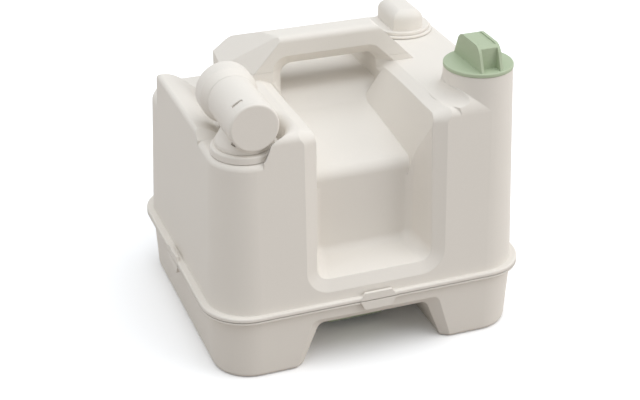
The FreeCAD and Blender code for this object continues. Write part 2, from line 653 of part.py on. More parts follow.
def left_bevel(depth):
    """The space in front of the slanting strip on the left leg, pushed back by a depth."""
    top = Vector(-d.handle_left_top, d.handle_front_y, d.handle_top_z - d.handle_round / 2)
    along = Vector(-d.strip_run, 0, -d.strip_drop)
    back = Vector(-d.strip_set_x, d.strip_set_y, -d.strip_set_z)
    outward = back.cross(along).normalize()
    room = Part.makeBox(FAR, FAR, FAR, Vector(-FAR / 2, -FAR / 2, 0))
    room.Placement = Placement(top - outward * depth, Rotation(UP, outward))
    return room


def handle_form():
    """The arch of handle and pedestals, with its front view and side view crossed."""
    big = 2 * d.handle_round
    wires = []
    for y, skew in ((d.handle_front_y, 0.0), (handle_back_y, d.handle_skew)):
        front_view = [(-d.handle_left_foot - skew, d.deck_z), (-d.handle_left_top - skew, d.handle_top_z),
                      (d.handle_top_half, d.handle_top_z), (d.handle_right_foot, d.deck_z),
                      (well_right, d.deck_z), (d.leg_head, d.handle_under_z),
                      (-d.handle_half, d.handle_under_z), (-d.handle_half, d.deck_z)]
        wires.append(outline([Vector(x, y, z) for x, z in front_view], [0, big, big, 0, 0, big, big, 0]))
    left_limit = Part.makeBox(FAR, 2 * FAR, 2 * FAR, Vector(-d.handle_left_foot - FAR, -FAR, 0))
    arch = loft_between(*wires).cut([handle_opening(0.0), left_bevel(0.0), left_limit])
    fall_y = d.handle_front_y + d.handle_depth / 2
    side_view = [(d.handle_front_y, d.deck_z), (d.handle_front_y, d.handle_top_z - d.handle_round / 3),
                 (d.handle_front_y + d.handle_round, d.handle_top_z),
                 (fall_y, d.handle_top_z - d.handle_round / 3),
                 (handle_back_y, d.handle_top_z - d.handle_fall), (handle_back_y, d.deck_z)]
    bend = d.handle_round
    return arch.common(across(side_view, FAR, [0, bend, bend, 2 * bend, bend, 0]))


def above(z):
    """All the space above a height."""
    return Part.makeBox(2 * FAR, 2 * FAR, FAR, Vector(-FAR, -FAR, z))


def tab_positions():
    """Each flange tab's turn about Z and its distance from the middle."""
    return [(0, d.flange_half_y), (90, d.flange_half_x), (180, d.flange_half_y), (270, d.flange_half_x)]


def tabs(z_seam, z_tip, depth):
    """The four trapezium tabs on the flange, from the seam to their tips."""
    solids = []
    for turn, reach in tab_positions():
        points = [(-d.tab_base / 2, z_seam), (d.tab_base / 2, z_seam), (d.tab_tip / 2, z_tip),
                  (-d.tab_tip / 2, z_tip)]
        tip_round = d.tab_proud * 3
        face_y = -reach - d.tab_proud
        tab = lengthways(points, face_y, face_y + depth, [0, 0, tip_round, tip_round])
        tab.rotate(Vector(0, 0, 0), UP, turn)
        solids.append(tab)
    return solids


def screw_bosses(grow):
    """The blocks inside the handle's legs that its screws bite into."""
    solids = []
    for side in (1, -1):
        half = d.boss_half + grow
        middle_y = d.handle_front_y + d.handle_depth / 2
        solids.append(Part.makeBox(2 * half, 2 * half, d.boss_high + grow,
                                   Vector(side * d.boss_x - half, middle_y - half, d.handle_seam_z)))
    return solids


def screw_holes(diameter):
    """Holes along Y for the handle's screws."""
    height = d.handle_seam_z + d.boss_high / 2
    return [Part.makeCylinder(diameter / 2, d.screw_long + 2 * d.wall,
                              Vector(side * d.boss_x, handle_back_y + d.wall, height),
                              Vector(0, -1, 0)) for side in (1, -1)]


def upper_shell_shape():
    """The upper shell: outer form, flange and pedestals less its inside and openings."""
    outer = upper_form(0).cut(recess(0)).fuse(tower(0))
    flange_low = d.seam_z + d.seam_gap / 2
    flange = Part.Face(rounded_rectangle(d.flange_half_x, d.flange_half_y, d.flange_corner, flange_low))
    flange = flange.extrude(Vector(0, 0, d.flange_upper))
    flange = flange.makeFillet(d.flange_round, level_edges(flange, upper_foot_z))
    inlet_room = Part.makeCylinder(d.inlet_flange_radius + d.fit_gap, FAR,
                                   Vector(d.inlet_x, d.inlet_y, d.deck_z))
    pedestals = handle_form().cut([above(d.handle_seam_z), inlet_room])
    tab_solids = tabs(flange_low, upper_foot_z + d.tab_rise, d.tab_thick)
    below = Part.makeBox(2 * FAR, 2 * FAR, flange_low, Vector(-FAR, -FAR, 0))
    outer = fused([outer, flange, pedestals] + tab_solids + screw_bosses(0)).cut(below)
    inside = upper_form(d.wall).fuse(tower(d.wall)).cut(recess(d.wall))
    ledge_hole = Part.makeCylinder(d.collar_spigot + d.run_gap, FAR,
                                   Vector(spout_x, neck_y, d.ledge_z - 2 * d.wall))
    seat = Part.makeCylinder(d.filler_insert_radius + d.run_gap, d.tower_seat + d.wall,
                             Vector(neck_x, neck_y, d.tower_z - d.tower_seat))
    passage = Part.makeCylinder(d.filler_bore - d.lug_gap, d.tower_seat + 3 * d.wall,
                                Vector(neck_x, neck_y, d.tower_z - d.tower_seat - 2 * d.wall))
    inlet_hole = Part.makeCylinder(d.inlet_spigot + d.run_gap, 3 * d.wall,
                                   Vector(d.inlet_x, d.inlet_y, d.deck_z - 2 * d.wall))
    openings = [inside, ledge_hole, seat, passage, inlet_hole]
    return outer.cut(openings + screw_holes(d.screw_shank + d.run_gap))


def solid_piece(label, shape):
    """A sub-part whose shape is worked out from the sheet's values."""
    item = doc.addObject("Part::Feature", label)
    item.Shape = shape
    return keep(item, label)


solid_piece("upper_shell", upper_shell_shape())


# Lower shell
def channel(grow, y_half):
    """The channel under the base, with a bevel at each mouth."""
    flare = (d.channel_half_foot - d.channel_half_top) / d.channel_z
    low_z = -d.channel_z

    def mouth(half_extra, y):
        top_half = d.channel_half_top + half_extra
        foot_half = top_half + flare * (d.channel_z + half_extra - low_z)
        top_z = d.channel_z + half_extra
        corners = [Vector(-foot_half, y, low_z), Vector(-top_half, y, top_z), Vector(top_half, y, top_z),
                   Vector(foot_half, y, low_z)]
        return outline(corners, [0, d.channel_round, d.channel_round, 0])

    tools = [loft_between(mouth(grow, -FAR), mouth(grow, FAR))]
    steep = d.channel_bevel_wide / d.channel_bevel_deep
    for side in (1, -1):
        widest = d.channel_bevel_wide + d.channel_bevel_deep * steep + grow
        outer = mouth(widest, side * (y_half + d.channel_bevel_deep))
        inner = mouth(grow, side * (y_half - d.channel_bevel_deep - grow))
        tools.append(loft_between(inner, outer))
    return tools


def gasket_ring(half_width, z_low, high):
    """A ring that follows the middle of the flange's seat."""
    middle = (d.flange_half_x - d.upper_half_x) / 2
    blocks = []
    for offset in (middle - half_width, middle + half_width):
        wire = rounded_rectangle(d.flange_half_x - offset, d.flange_half_y - offset,
                                 d.flange_corner - offset, z_low)
        blocks.append(Part.Face(wire).extrude(Vector(0, 0, high)))
    return blocks[0].cut(blocks[1])


groove_low_z = d.seam_z - d.seam_gap / 2 - d.gasket_groove


def lower_shell_shape():
    """The base: feet, channel and flange, hollow inside."""
    flange_top = d.seam_z - d.seam_gap / 2
    block = tapered_block(d.lower_half_x, d.lower_half_y, d.lower_corner, 0, lower_top_z, -lower_lean, 0)
    block = block.cut(channel(0, d.lower_half_y + lower_lean * d.channel_z / 2))
    corners = [edge for edge in level_edges(block, 0)
               if min(edge.BoundBox.XLength, edge.BoundBox.YLength) > d.wall]
    block = block.makeFillet(d.foot_round, corners)
    flange = Part.Face(rounded_rectangle(d.flange_half_x, d.flange_half_y, d.flange_corner, lower_top_z))
    flange = flange.extrude(Vector(0, 0, d.flange_lower))
    flange = flange.makeChamfer(d.flange_lower / 2, level_edges(flange, lower_top_z))
    drop = d.tab_drop + d.seam_gap
    tab_depth = d.flange_half_x - d.upper_half_x + d.wall
    outer = fused([block, flange] + tabs(flange_top, flange_top - drop, tab_depth))
    inside = tapered_block(d.lower_half_x - d.wall, d.lower_half_y - d.wall, d.lower_corner - d.wall,
                           d.wall, d.seam_z + d.wall, -lower_lean, 0)
    inside = inside.cut(channel(d.wall, d.lower_half_y + lower_lean * d.channel_z / 2))
    groove = gasket_ring(d.gasket_width / 2 + d.run_gap, groove_low_z, d.wall)
    return outer.cut([inside, groove])


solid_piece("lower_shell", lower_shell_shape())
solid_piece("seam_gasket", gasket_ring(d.gasket_width / 2, groove_low_z, d.gasket_groove + d.seam_gap))


def under_tray_shape():
    """The green tray that hangs from the channel's ceiling, open at its top."""
    half_y = d.tray_length / 2
    outer = prism([Vector(x, y, d.tray_z) for x, y in ((-d.tray_half, -half_y), (d.tray_half, -half_y),
                                                       (d.tray_half, half_y), (-d.tray_half, half_y))],
                  [d.tray_round] * 4, Vector(0, 0, d.channel_z - d.tray_z))
    outer = outer.makeFillet(d.tray_round / 2, level_edges(outer, d.tray_z))
    half_x = d.tray_half - d.tray_wall
    half_y = half_y - d.tray_wall
    inner = prism([Vector(x, y, d.tray_z + d.tray_wall) for x, y in ((-half_x, -half_y), (half_x, -half_y),
                                                                     (half_x, half_y), (-half_x, half_y))],
                  [d.tray_round - d.tray_wall] * 4, Vector(0, 0, d.channel_z))
    return outer.cut(inner)


solid_piece("under_tray", under_tray_shape())


# Carry handle
def handle_shape():
    """The hollow arch above the pedestals, open at its two feet."""
    arch = handle_form().common(above(d.handle_seam_z))
    wall = d.handle_wall
    shoulder = d.handle_top_z - d.deck_z
    leg = d.handle_half + wall
    right_leg = wall * math.sqrt(2)
    under = d.handle_under_z + wall
    ends = []
    for foot, top in ((d.handle_left_foot, d.handle_left_top), (d.handle_right_foot, d.handle_top_half)):
        slant = (foot - top) / shoulder
        shift = wall * math.sqrt(1 + slant * slant)
        ends.append((foot - shift, top + wall * slant - shift))
    (left_foot, left_top), (right_foot, right_top) = ends
    views = [(-left_foot, d.deck_z), (-left_top, d.handle_top_z - wall), (right_top, d.handle_top_z - wall),
             (right_foot, d.deck_z), (well_right + right_leg, d.deck_z), (d.leg_head + right_leg, under),
             (-leg, under), (-leg, d.deck_z)]
    hollow = lengthways(views, d.handle_front_y + 2 * wall, handle_back_y - wall)
    roof = across([(d.handle_front_y, d.deck_z), (d.handle_front_y, d.handle_top_z - 2 * wall),
                   (d.handle_front_y + d.handle_depth / 2, d.handle_top_z - 2 * wall),
                   (handle_back_y, d.handle_top_z - d.handle_fall - 2 * wall),
                   (handle_back_y, d.deck_z)], FAR)
    hollow = hollow.common(roof).cut([handle_opening(1.5 * wall), left_bevel(wall)])
    return arch.cut([hollow] + screw_holes(d.screw_shank + 2 * d.run_gap))


solid_piece("carry_handle", handle_shape())


# Turned pieces
def draw(sketch, corners):
    """Draws a closed outline whose corners are bound to the sheet."""
    count = len(corners)
    for index, (across_size, along_size) in enumerate(corners):
        next_across, next_along = corners[(index + 1) % count]
        start = Vector(across_size, along_size, 0)
        sketch.addGeometry(Part.LineSegment(start, Vector(next_across, next_along, 0)))
    for index in range(count):
        sketch.addConstraint(Sketcher.Constraint("Coincident", index, 2, (index + 1) % count, 1))
    for index, corner in enumerate(corners):
        for kind, axis, size in (("DistanceX", -2, corner[0]), ("DistanceY", -1, corner[1])):
            if float(size) == 0.0:
                sketch.addConstraint(Sketcher.Constraint("PointOnObject", index, 1, axis))
            else:
                number = sketch.addConstraint(Sketcher.Constraint(kind, -1, 1, index, 1, float(size)))
                bind(sketch, f"Constraints[{number}]", size)


def turned(label, corners, place, along_y=False):
    """A body turned about its own axis from (radius, height) corners."""
    body = doc.addObject("PartDesign::Body", label)
    body.Placement = Placement(Vector(0, 0, 0), Rotation(Vector(1, 0, 0), -90 if along_y else 0))
    for name, size in zip("xyz", place):
        bind(body, f"Placement.Base.{name}", size)
    sketch = body.newObject("Sketcher::SketchObject", label + "_profile")
    plane = next(feature for feature in body.Origin.OriginFeatures if feature.Role == "XZ_Plane")
    sketch.AttachmentSupport = [(plane, "")]
    sketch.MapMode = "FlatFace"
    draw(sketch, corners)
    turn = body.newObject("PartDesign::Revolution", label + "_turn")
    turn.Profile = sketch
    turn.ReferenceAxis = (sketch, ["V_Axis"])
    turn.Angle = 360
    body.Tip = turn
    return body


def soften(body, radius, places):
    """Rounds the circular edges of a turned body that lie at the given radii and heights."""
    doc.recompute()
    base = body.Tip
    names = []
    for number, edge in enumerate(base.Shape.Edges, start=1):
        circle = edge.Curve
        if isinstance(circle, Part.Circle):
            for place_radius, height in places:
                same_radius = abs(circle.Radius - place_radius) < SAME_PLACE
                if same_radius and abs(circle.Center.z - height) < SAME_PLACE:
                    names.append(f"Edge{number}")
    rounding = body.newObject("PartDesign::Fillet", body.Name + "_rounding")
    rounding.Base = (base, names)
    bind(rounding, "Radius", radius)
    body.Tip = rounding
    return body


def lug_pair(label, inner, outer, low, place, along_y=False):
    """Two helical lugs opposite each other, whose faces climb with the caps' lead."""
    steps = 6
    solids = []
    for start in (0.0, HALF_TURN):
        wires = []
        for step in range(steps + 1):
            turn = d.lug_span * (step / steps - 0.5)
            rise = d.lug_turn_lead * turn / 360
            angle = math.radians(start + turn)
            ray = Vector(math.cos(angle), math.sin(angle), 0)
            foot = UP * (low + rise)
            head = UP * (low + rise + d.lug_high)
            corners = [ray * inner + foot, ray * outer + foot, ray * outer + head, ray * inner + head]
            wires.append(Part.makePolygon(corners + corners[:1]))
        solids.append(Part.makeLoft(wires, True, True))
    item = doc.addObject("Part::Feature", label)
    item.Shape = Part.makeCompound(solids)
    item.Placement = Placement(Vector(*place), Rotation(Vector(1, 0, 0), -90 if along_y else 0))
    return item


def joined(label, items):
    """One sub-part from several document objects."""
    fuse = doc.addObject("Part::MultiFuse", label)
    fuse.Shapes = items
    fuse.Refine = True
    return keep(fuse, label)


NONE = Size(0.0, "0")
neck_place = (spout_x, neck_y, NONE)
filler_place = (neck_x, neck_y, NONE)
inlet_place = (d.inlet_x, d.inlet_y, NONE)
spout_place = (spout_x, d.spout_front_y, d.spout_z)

# Collar, nut and seal of the spout's neck
collar_low_z = d.ledge_z - d.collar_deep
collar_foot_z = d.ledge_z + d.washer_thick
collar = turned("spout_collar", [(d.collar_bore, collar_low_z), (d.collar_spigot, collar_low_z),
                                 (d.collar_spigot, collar_foot_z), (d.collar_radius, collar_foot_z),
                                 (d.collar_radius, collar_top_z), (d.collar_bore, collar_top_z)],
                neck_place)
keep(soften(collar, d.collar_round, [(d.collar_radius, collar_top_z)]), "spout_collar")


def washer(label, inner, outer, low_z, place):
    """A flat gasket under a collar's flange."""
    inside = inner + d.run_gap
    outside = outer - d.washer_inset
    top_z = low_z + d.washer_thick
    corners = [(inside, low_z), (outside, low_z), (outside, top_z), (inside, top_z)]
    keep(turned(label, corners, place), label)


washer("spout_collar_gasket", d.collar_spigot, d.collar_radius, d.ledge_z, neck_place)
nut_top_z = d.ledge_z - d.wall
nut_low_z = nut_top_z - d.retainer_high
nut_bore = d.collar_spigot + d.run_gap
keep(turned("spout_retainer", [(nut_bore, nut_low_z), (d.retainer_radius, nut_low_z),
                               (d.retainer_radius, nut_top_z), (nut_bore, nut_top_z)], neck_place),
     "spout_retainer")

# Pour spout: riser and tube
riser_radius = d.collar_bore - d.run_gap
lip_top_z = collar_low_z - d.fit_gap
lip_low_z = lip_top_z - d.riser_lip_high
groove_z = d.ledge_z - d.wall - d.seal_groove
groove_radius = riser_radius - d.seal_section
shoulder_z = collar_top_z + d.fit_gap
riser_top_z = d.spout_z - d.spout_radius / 2
riser = turned("spout_riser", [
    (NONE, lip_low_z), (d.riser_lip, lip_low_z), (d.riser_lip, lip_top_z), (riser_radius, lip_top_z),
    (riser_radius, groove_z), (groove_radius, groove_z), (groove_radius, groove_z + d.seal_groove),
    (riser_radius, groove_z + d.seal_groove), (riser_radius, shoulder_z), (d.riser_shoulder, shoulder_z),
    (d.riser_shoulder, shoulder_z + d.shoulder_high), (d.spout_radius - d.wall, riser_top_z),
    (NONE, riser_top_z)], neck_place)
soften(riser, d.collar_round, [(d.riser_shoulder, shoulder_z + d.shoulder_high)])
step_y = d.spout_length - d.mouth_long
tube = turned("spout_tube", [
    (NONE, d.plug_flange), (d.spout_radius, d.plug_flange), (d.spout_radius, step_y),
    (d.mouth_radius, step_y), (d.mouth_radius, d.spout_length), (NONE, d.spout_length)], spout_place, True)
tube_bore = turned("spout_tube_bore", [(NONE, d.plug_flange - d.wall),
                                       (d.spout_radius - d.spout_wall, d.plug_flange - d.wall),
                                       (d.spout_radius - d.spout_wall, step_y - d.spout_wall),
                                       (d.mouth_radius - d.mouth_wall, step_y - d.spout_wall),
                                       (d.mouth_radius - d.mouth_wall, d.spout_length + d.wall),
                                       (NONE, d.spout_length + d.wall)], spout_place, True)
riser_bore = doc.addObject("Part::Cylinder", "spout_riser_bore")
bind(riser_bore, "Radius", d.riser_bore)
bind(riser_bore, "Height", d.spout_z - lip_low_z + d.wall)
for name, size in zip("xyz", (spout_x, neck_y, lip_low_z - d.wall)):
    bind(riser_bore, f"Placement.Base.{name}", size)


def window_blocks(label, inner, outer, wide, long):
    """The snap windows in the tube, or the plug's nubs that fill them."""
    solids = []
    for number in range(3):
        turn = d.window_turn + number * 120
        start = (d.window_long - long - d.window_wide) / 2
        block = Part.makeBox(wide, outer - inner, long, Vector(start, inner, d.window_y - long / 2))
        block.rotate(Vector(0, 0, 0), UP, turn)
        solids.append(block)
    item = doc.addObject("Part::Feature", label)
    item.Shape = Part.makeCompound(solids)
    item.Placement = Placement(Vector(*spout_place), Rotation(Vector(1, 0, 0), -90))
    return item


windows = window_blocks("spout_windows", d.spout_radius - 2 * d.spout_wall, d.spout_radius + d.spout_wall,
                        d.window_wide, d.window_long)
lug_middle = d.spout_length - 3 * d.lug_high
mouth_lugs = lug_pair("spout_mouth_lugs", d.mouth_radius - d.mouth_wall / 2,
                      d.mouth_radius + d.lug_high - d.lug_gap, lug_middle, spout_place, True)
spout_solid = doc.addObject("Part::MultiFuse", "spout_solid")
spout_solid.Shapes = [riser, tube, mouth_lugs]
spout_solid.Refine = True
spout_inside = doc.addObject("Part::MultiFuse", "spout_inside")
spout_inside.Shapes = [tube_bore, riser_bore, windows]
elbow = doc.addObject("Part::Cut", "spout_elbow")
elbow.Base = spout_solid
elbow.Tool = spout_inside
keep(elbow, "spout_elbow")
seal_radius = d.seal_section / 2


def ring_seal(label, middle_radius, height, place, along_y=False):
    """A round-section seal ring."""
    ring = doc.addObject("Part::Torus", label)
    ring.Placement = Placement(Vector(0, 0, 0), Rotation(Vector(1, 0, 0), -90 if along_y else 0))
    bind(ring, "Radius1", middle_radius)
    bind(ring, "Radius2", seal_radius - d.run_gap / 2)
    centre = (place[0], place[1] + height, place[2]) if along_y else (place[0], place[1], height)
    for name, size in zip("xyz", centre):
        bind(ring, f"Placement.Base.{name}", size)
    return keep(ring, label)


ring_seal("spout_neck_seal", riser_radius - seal_radius, groove_z + d.seal_groove / 2, neck_place)

# End plug at the front of the tube
sleeve_radius = d.spout_radius - d.spout_wall - d.run_gap
plug_groove_y = d.plug_flange + d.seal_section / 2
groove_floor = sleeve_radius - d.seal_section
sleeve_bore = groove_floor - d.plug_sleeve_wall
groove_end_y = plug_groove_y + d.seal_section
plug = turned("spout_plug_turning", [
    (NONE, NONE), (d.spout_radius, NONE), (d.spout_radius, d.plug_flange), (sleeve_radius, d.plug_flange),
    (sleeve_radius, plug_groove_y), (groove_floor, plug_groove_y), (groove_floor, groove_end_y),
    (sleeve_radius, groove_end_y), (sleeve_radius, d.plug_deep), (sleeve_bore, d.plug_deep),
    (sleeve_bore, d.plug_flange), (NONE, d.plug_flange)], spout_place, True)
soften(plug, d.plug_round, [(d.spout_radius, 0.0)])
slots = window_blocks("spout_plug_slots", groove_floor, d.spout_radius, d.window_wide, d.window_long)
slotted = doc.addObject("Part::Cut", "spout_plug_slotted")
slotted.Base = plug
slotted.Tool = slots
nubs = window_blocks("spout_plug_nubs", groove_floor - d.plug_sleeve_wall / 2,
                     d.spout_radius - d.spout_wall / 2, d.nub_wide, d.window_long - 2 * d.fit_gap)
joined("spout_end_plug", [slotted, nubs])
ring_seal("spout_plug_seal", sleeve_radius - seal_radius, plug_groove_y + seal_radius, spout_place, True)

# Cap and liner at the mouth of the spout
cap_start = step_y + d.fit_gap
liner_low = d.spout_length + d.fit_gap / 2
cap_inner_end = liner_low + d.liner_thick + d.fit_gap / 2
cap_bore = d.mouth_radius + d.lug_high
cap_out = cap_inner_end + d.cap_end
cap = turned("spout_cap_turning", [
    (d.spout_radius, cap_start), (d.cap_radius, cap_out - d.cap_rim), (d.cap_radius, cap_out),
    (NONE, cap_out), (NONE, cap_inner_end), (cap_bore, cap_inner_end), (cap_bore, cap_start)],
    spout_place, True)
soften(cap, d.cap_round, [(d.cap_radius, cap_out)])
cap_lugs = lug_pair("spout_cap_lugs", d.mouth_radius + d.lug_gap, cap_bore + d.lug_gap,
                    lug_middle - d.fit_gap - d.lug_high, spout_place, True)
joined("spout_cap", [cap, cap_lugs])
liner_in = d.mouth_radius - d.mouth_wall
liner_out = cap_bore - d.fit_gap
liner_high = liner_low + d.liner_thick
keep(turned("spout_cap_seal", [(liner_in, liner_low), (liner_out, liner_low), (liner_out, liner_high),
                               (liner_in, liner_high)], spout_place, True), "spout_cap_seal")


# Quarter-turn plug caps on the deck
def plug_cap(label, place, seat_z, bore, cap_radius, cap_thick, grip):
    """A cap with a skirt and lugs that turns in a bore, its seal ring, and the bore's own lugs."""
    skirt = bore - d.lug_high
    under_z = seat_z + d.fit_gap
    top_z = under_z + cap_thick
    groove_in = bore + d.run_gap
    groove_out = groove_in + d.ring_seal_wide + 2 * d.run_gap
    groove_top = under_z + d.ring_seal_thick
    low_z = seat_z - d.skirt_deep
    turning = turned(label + "_turning", [
        (NONE, top_z), (cap_radius, top_z), (cap_radius, under_z), (groove_out, under_z),
        (groove_out, groove_top), (groove_in, groove_top), (groove_in, under_z), (skirt, under_z),
        (skirt, low_z), (skirt - d.skirt_wall, low_z), (skirt - d.skirt_wall, under_z),
        (NONE, under_z)], place)
    soften(turning, cap_thick / 3, [(cap_radius, top_z)])
    lug_z = seat_z - d.skirt_deep / 2
    cap_lug_z = lug_z - d.fit_gap - d.lug_high
    cap_side = lug_pair(label + "_lugs", skirt - d.lug_gap, bore - d.lug_gap, cap_lug_z, place)
    bore_side = lug_pair(label + "_bore_lugs", skirt + d.lug_gap, bore + d.lug_gap, lug_z, place)
    joined(label, [turning, cap_side, grip(top_z)])
    ring_in = groove_in + d.run_gap
    ring_out = groove_out - d.run_gap
    ring_low = seat_z + d.run_gap
    ring_high = groove_top - d.run_gap
    ring_corners = [(ring_in, ring_low), (ring_out, ring_low), (ring_out, ring_high), (ring_in, ring_high)]
    keep(turned(label + "_seal", ring_corners, place), label + "_seal")
    return bore_side


def filler_grip(top_z):
    """Two rounded plates with a core between them."""
    sink = d.filler_cap_thick / 2
    plate_points = [(-d.grip_half_foot, top_z - sink), (-d.grip_half_top, top_z + d.grip_high),
                    (d.grip_half_top, top_z + d.grip_high), (d.grip_half_foot, top_z - sink)]
    half = d.grip_wide / 2
    plates = []
    for side in (1, -1):
        plate = across(plate_points, d.grip_plate / 2, [0, d.grip_round, d.grip_round, 0])
        plate.translate(Vector(side * (half - d.grip_plate / 2), 0, 0))
        plates.append(plate)
    core_wide = d.grip_wide - d.grip_plate
    core = Part.makeBox(core_wide, 2 * d.grip_core_half, d.grip_high - d.grip_core_drop + sink,
                        Vector(-core_wide / 2, -d.grip_core_half, top_z - sink))
    core = core.common(across(plate_points, half, [0, d.grip_round, d.grip_round, 0]))
    item = doc.addObject("Part::Feature", "filler_cap_grip")
    item.Shape = fused(plates + [core])
    item.Placement = Placement(Vector(*filler_place), Rotation())
    return item


def inlet_grip(top_z):
    """A broad bar with a rounded top, its ends following the cap."""
    sink = d.inlet_cap_thick / 2
    half = d.knob_wide / 2
    high_z = top_z + d.knob_high
    bar = lengthways([(-half, top_z - sink), (-half, high_z), (half, high_z), (half, top_z - sink)],
                     -d.knob_radius, d.knob_radius, [0, d.knob_round, d.knob_round, 0])
    post = Part.makeCylinder(d.knob_radius, d.knob_high + sink, Vector(0, 0, top_z - sink))
    post = post.makeFillet(d.knob_round, level_edges(post, top_z + d.knob_high))
    item = doc.addObject("Part::Feature", "inlet_cap_grip")
    item.Shape = bar.common(post)
    item.Placement = Placement(Vector(*inlet_place), Rotation())
    return item


filler_lugs = plug_cap("filler_cap", filler_place, d.tower_z, d.filler_bore, d.filler_cap_radius,
                       d.filler_cap_thick, filler_grip)
filler_sleeve = turned("filler_insert_turning", [
    (d.filler_bore, d.tower_z - d.tower_seat), (d.filler_insert_radius, d.tower_z - d.tower_seat),
    (d.filler_insert_radius, d.tower_z), (d.filler_bore, d.tower_z)], filler_place)
joined("filler_insert", [filler_sleeve, filler_lugs])

inlet_seat_z = d.deck_z + d.inlet_flange_high
inlet_lugs = plug_cap("inlet_cap", inlet_place, inlet_seat_z, d.inlet_bore, d.inlet_cap_radius,
                      d.inlet_cap_thick, inlet_grip)
inlet_foot_z = d.deck_z + d.washer_thick
inlet_ring = turned("inlet_collar_turning", [
    (d.inlet_bore, d.deck_z - d.inlet_spigot_deep), (d.inlet_spigot, d.deck_z - d.inlet_spigot_deep),
    (d.inlet_spigot, inlet_foot_z), (d.inlet_flange_radius, inlet_foot_z),
    (d.inlet_flange_radius, inlet_seat_z), (d.inlet_bore, inlet_seat_z)], inlet_place)
soften(inlet_ring, d.inlet_flange_high / 3, [(d.inlet_flange_radius, inlet_seat_z)])
joined("inlet_collar", [inlet_ring, inlet_lugs])
washer("inlet_collar_gasket", d.inlet_spigot, d.inlet_flange_radius, d.deck_z, inlet_place)


# Screws of the handle, driven from behind
def handle_screws_shape():
    """Two pan-head screws with their heads on the handle's rear face."""
    height = d.handle_seam_z + d.boss_high / 2
    solids = []
    for side in (1, -1):
        place = Vector(side * d.boss_x, handle_back_y, height)
        shank = Part.makeCylinder(d.screw_shank / 2, d.screw_long, place, Vector(0, -1, 0))
        head = Part.makeCylinder(d.screw_head / 2, d.screw_head_high, place, Vector(0, 1, 0))
        rim = [edge for edge in head.Edges if edge.BoundBox.YMin > handle_back_y + d.screw_head_high / 2]
        head = head.makeFillet(d.screw_head_high / 2, rim)
        solids.append(shank.fuse(head).removeSplitter())
    return Part.makeCompound(solids)


solid_piece("handle_screws", handle_screws_shape())

# Checks of the document, then one file for each sub-part
doc.recompute()
for item in doc.Objects:
    if "Invalid" in item.State or "Error" in item.State:
        raise RuntimeError(f"{item.Label} failed: {item.State}")
for piece in pieces:
    if piece.Shape.isNull() or not piece.Shape.isValid() or not piece.Shape.Solids:
        raise RuntimeError(f"{piece.Label} has no valid solid")
os.makedirs("parts", exist_ok=True)
for piece in pieces:
    piece.Shape.exportStep(f"parts/{piece.Label}.step")
    print(piece.Label, len(piece.Shape.Solids), round(piece.Shape.Volume / 1000, 2), "cm3")
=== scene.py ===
"""Looks of the holding tank: moulded plastic, rubber and steel under soft studio light."""
import json
import math

import bpy
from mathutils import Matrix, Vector

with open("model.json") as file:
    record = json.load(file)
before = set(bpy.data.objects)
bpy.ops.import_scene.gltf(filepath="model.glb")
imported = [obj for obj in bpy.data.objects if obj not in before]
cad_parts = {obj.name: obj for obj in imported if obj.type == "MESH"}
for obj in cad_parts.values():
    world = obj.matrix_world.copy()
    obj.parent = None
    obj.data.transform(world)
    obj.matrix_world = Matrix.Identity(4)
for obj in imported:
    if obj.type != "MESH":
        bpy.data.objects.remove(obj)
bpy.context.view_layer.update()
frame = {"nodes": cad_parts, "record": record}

# Camera: the photograph's own view, in metres and millimetres of lens
CAMERA_TARGET = Vector((-0.00699, 0.0, 0.10693))
CAMERA_AZIMUTH = math.radians(-20.39)
CAMERA_ELEVATION = math.radians(28.07)
CAMERA_DISTANCE = 1.52554
CAMERA_LENS = 80.82
SENSOR_WIDE = 36.0

# Light: three broad suns and an even sky, under which a level white surface renders as white
SKY_LEVEL = (0.43, 0.445, 0.455)
TOP_LEVEL = 1.628
TOP_COLOUR = (0.938, 0.962, 1.0)
TOP_FROM = Vector((0.05, -0.1, 1.0))
TOP_SPREAD = math.radians(70)
KEY_LEVEL = 1.38
KEY_COLOUR = (1.0, 0.97, 0.95)
KEY_FROM = Vector((0.82, -0.4, 0.26))
KEY_SPREAD = math.radians(60)
FILL_LEVEL = 0.55
FILL_COLOUR = (1.0, 0.98, 0.97)
FILL_FROM = Vector((-0.95, 0.0, 0.2))
FILL_SPREAD = math.radians(80)

# Floor and sky as they are seen, and the floor as it lights the tank from below
FLOOR_SEEN = (1.15, 1.15, 1.15)
FLOOR_BOUNCE = (0.43, 0.385, 0.35)
SKY_SEEN = (1.0, 1.0, 1.0)
FLOOR_HALF = 6.0

# Colours: each surface varies between a deep tint and a pale one
SHELL_DEEP = (0.785, 0.745, 0.685)
SHELL_PALE = (0.805, 0.765, 0.705)
GREEN_DEEP = (0.43, 0.503, 0.346)
GREEN_PALE = (0.47, 0.543, 0.388)
RUBBER_DEEP = (0.016, 0.016, 0.017)
RUBBER_PALE = (0.045, 0.044, 0.042)
STEEL_DEEP = (0.48, 0.48, 0.47)
STEEL_PALE = (0.64, 0.64, 0.63)

# Part of a noise texture's range that is stretched to the wanted range
NOISE_LOW = 0.3
NOISE_HIGH = 0.7

# Moulded plastic: scales are in cycles per metre, heights in metres
PLASTIC_INDEX = 1.46
PLASTIC_SHINE = 0.35
CLOUD_SCALE = 9.0
CLOUD_SHARE = (0.15, 0.75)
SPECK_SCALE = 420.0
SPECK_SHARE = (-0.2, 0.3)
GRIT_SCALE = 1500.0
GRIT_HIGH = 0.0003
EDGE_SAMPLES = 6

# Rubber and steel
BLOOM_SCALE = 160.0
RUBBER_ROUGH = (0.62, 0.8)
RUBBER_GRIT_SCALE = 1200.0
RUBBER_GRAIN = 0.15
RUBBER_GRIT_HIGH = 0.0002
MOTTLE_SCALE = 600.0
STEEL_ROUGH = (0.28, 0.45)


